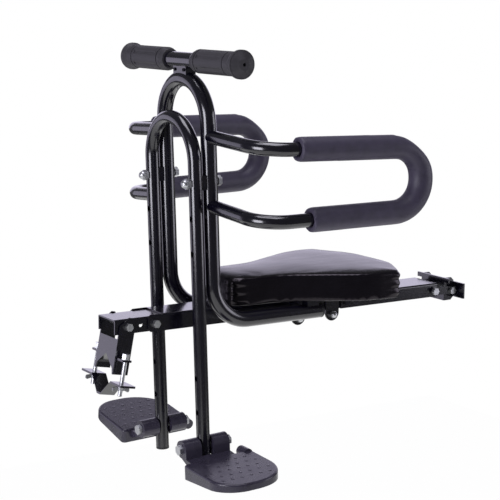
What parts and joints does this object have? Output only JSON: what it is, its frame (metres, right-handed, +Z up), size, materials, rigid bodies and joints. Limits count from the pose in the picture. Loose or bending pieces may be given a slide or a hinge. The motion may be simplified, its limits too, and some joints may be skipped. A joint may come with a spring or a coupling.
{
  "type": "child bike seat",
  "caption": "Front child seat for a bicycle: padded saddle on a clamp rail, tube hoop with a handlebar, foam arm guards and folding foot pedals.",
  "frame": {"origin": "seat post axis, halfway up the rear clamp's strap", "axes": "+X towards the back of the bicycle, +Y to the child's right, +Z up the seat post"},
  "size_m": [0.628, 0.44, 0.5902],
  "materials": {
    "frame_paint": "gloss black paint",
    "zinc": "bright zinc plate",
    "wing_zinc": "dull zinc casting",
    "foam": "matte foam",
    "grip_rubber": "satin rubber",
    "pad_rubber": "matte rubber",
    "cushion_cover": "glossy coated cover",
    "board": "plain plywood",
    "pedal_plastic": "satin moulding",
    "plug_plastic": "satin moulding"
  },
  "bodies": {
    "frame": {"main_hoop": "frame_paint", "leg_hoop": "frame_paint", "hoop_spacers": "frame_paint", "handlebar": "frame_paint", "handlebar_saddle": "frame_paint", "left_armrest": "frame_paint", "right_armrest": "frame_paint", "main_rail": "frame_paint", "front_slider": "frame_paint", "rear_channel": "frame_paint", "front_rail_clamp": "frame_paint", "rear_rail_clamp": "frame_paint", "run_lugs": "frame_paint", "hoop_bolts": "zinc", "hoop_dome_nuts": "zinc", "slider_bolt": "zinc", "slider_nut": "zinc", "channel_bolt": "zinc", "channel_nut": "zinc", "pinch_bolts": "zinc", "pinch_dome_nuts": "zinc", "run_screws": "zinc", "seat_screws": "zinc", "pivot_bolt": "zinc", "pivot_nut": "zinc", "link_bolt": "zinc", "link_nut": "zinc", "pedal_bolts": "zinc", "pedal_nuts": "zinc", "saddle_screws": "zinc", "left_foam": "foam", "right_foam": "foam", "left_grip": "grip_rubber", "right_grip": "grip_rubber", "seat_cushion": "cushion_cover", "seat_board": "board", "left_run_plug": "plug_plastic", "right_run_plug": "plug_plastic", "left_leg_cap": "plug_plastic", "right_leg_cap": "plug_plastic"},
    "front_clamp": {"clamp_bracket": "frame_paint", "upper_jaw": "frame_paint", "left_stud": "zinc", "right_stud": "zinc"},
    "lower_jaw": {"lower_jaw": "frame_paint"},
    "left_wing_nut": {"left_wing_nut": "wing_zinc"},
    "right_wing_nut": {"right_wing_nut": "wing_zinc"},
    "rear_links": {"left_link": "frame_paint", "right_link": "frame_paint", "left_hinge_bolt": "zinc", "right_hinge_bolt": "zinc"},
    "rear_clamp": {"rear_bracket": "frame_paint", "rear_strap": "frame_paint", "strap_bolts": "zinc", "strap_nuts": "zinc", "post_pad": "pad_rubber"},
    "left_pedal": {"left_pedal": "pedal_plastic"},
    "right_pedal": {"right_pedal": "pedal_plastic"}
  },
  "joints": [
    {"name": "left_pedal_fold", "type": "hinge", "parent": "frame", "child": "left_pedal", "pos_m": [-0.47658, -0.059, -0.17076], "axis": [-0.9992, 0, -0.0396], "range_deg": [0, 90]},
    {"name": "right_pedal_fold", "type": "hinge", "parent": "frame", "child": "right_pedal", "pos_m": [-0.47658, 0.059, -0.17076], "axis": [0.9992, 0, 0.0396], "range_deg": [-10, 80]},
    {"name": "front_clamp_tilt", "type": "hinge", "parent": "frame", "child": "front_clamp", "pos_m": [-0.578, 0, 0.004], "axis": [0, 1, 0], "range_deg": [-30, 15]},
    {"name": "left_wing_spin", "type": "hinge", "parent": "lower_jaw", "child": "left_wing_nut", "pos_m": [-0.59696, -0.04, -0.07587], "axis": [0.1857, 0, 0.9826], "range_deg": [-2521, 2881]},
    {"name": "right_wing_spin", "type": "hinge", "parent": "lower_jaw", "child": "right_wing_nut", "pos_m": [-0.59696, 0.04, -0.07587], "axis": [0.1857, 0, 0.9826], "range_deg": [-2521, 2881]},
    {"name": "lower_jaw_slide", "type": "slide", "parent": "front_clamp", "child": "lower_jaw", "axis": [0.1857, 0, 0.9826], "range_m": [-0.007, 0.008]},
    {"name": "rear_link_tilt", "type": "hinge", "parent": "frame", "child": "rear_links", "pos_m": [-0.041, 0, 0.002], "axis": [0, 1, 0], "range_deg": [-10, 10]},
    {"name": "rear_clamp_tilt", "type": "hinge", "parent": "rear_links", "child": "rear_clamp", "pos_m": [-0.006, 0, 0], "axis": [0, 1, 0], "range_deg": [-15, 15]}
  ],
  "couplings": [
    {"joint": "left_wing_spin", "follows": "lower_jaw_slide", "rad_per_m": 6283.2},
    {"joint": "right_wing_spin", "follows": "lower_jaw_slide", "rad_per_m": 6283.2}
  ]
}
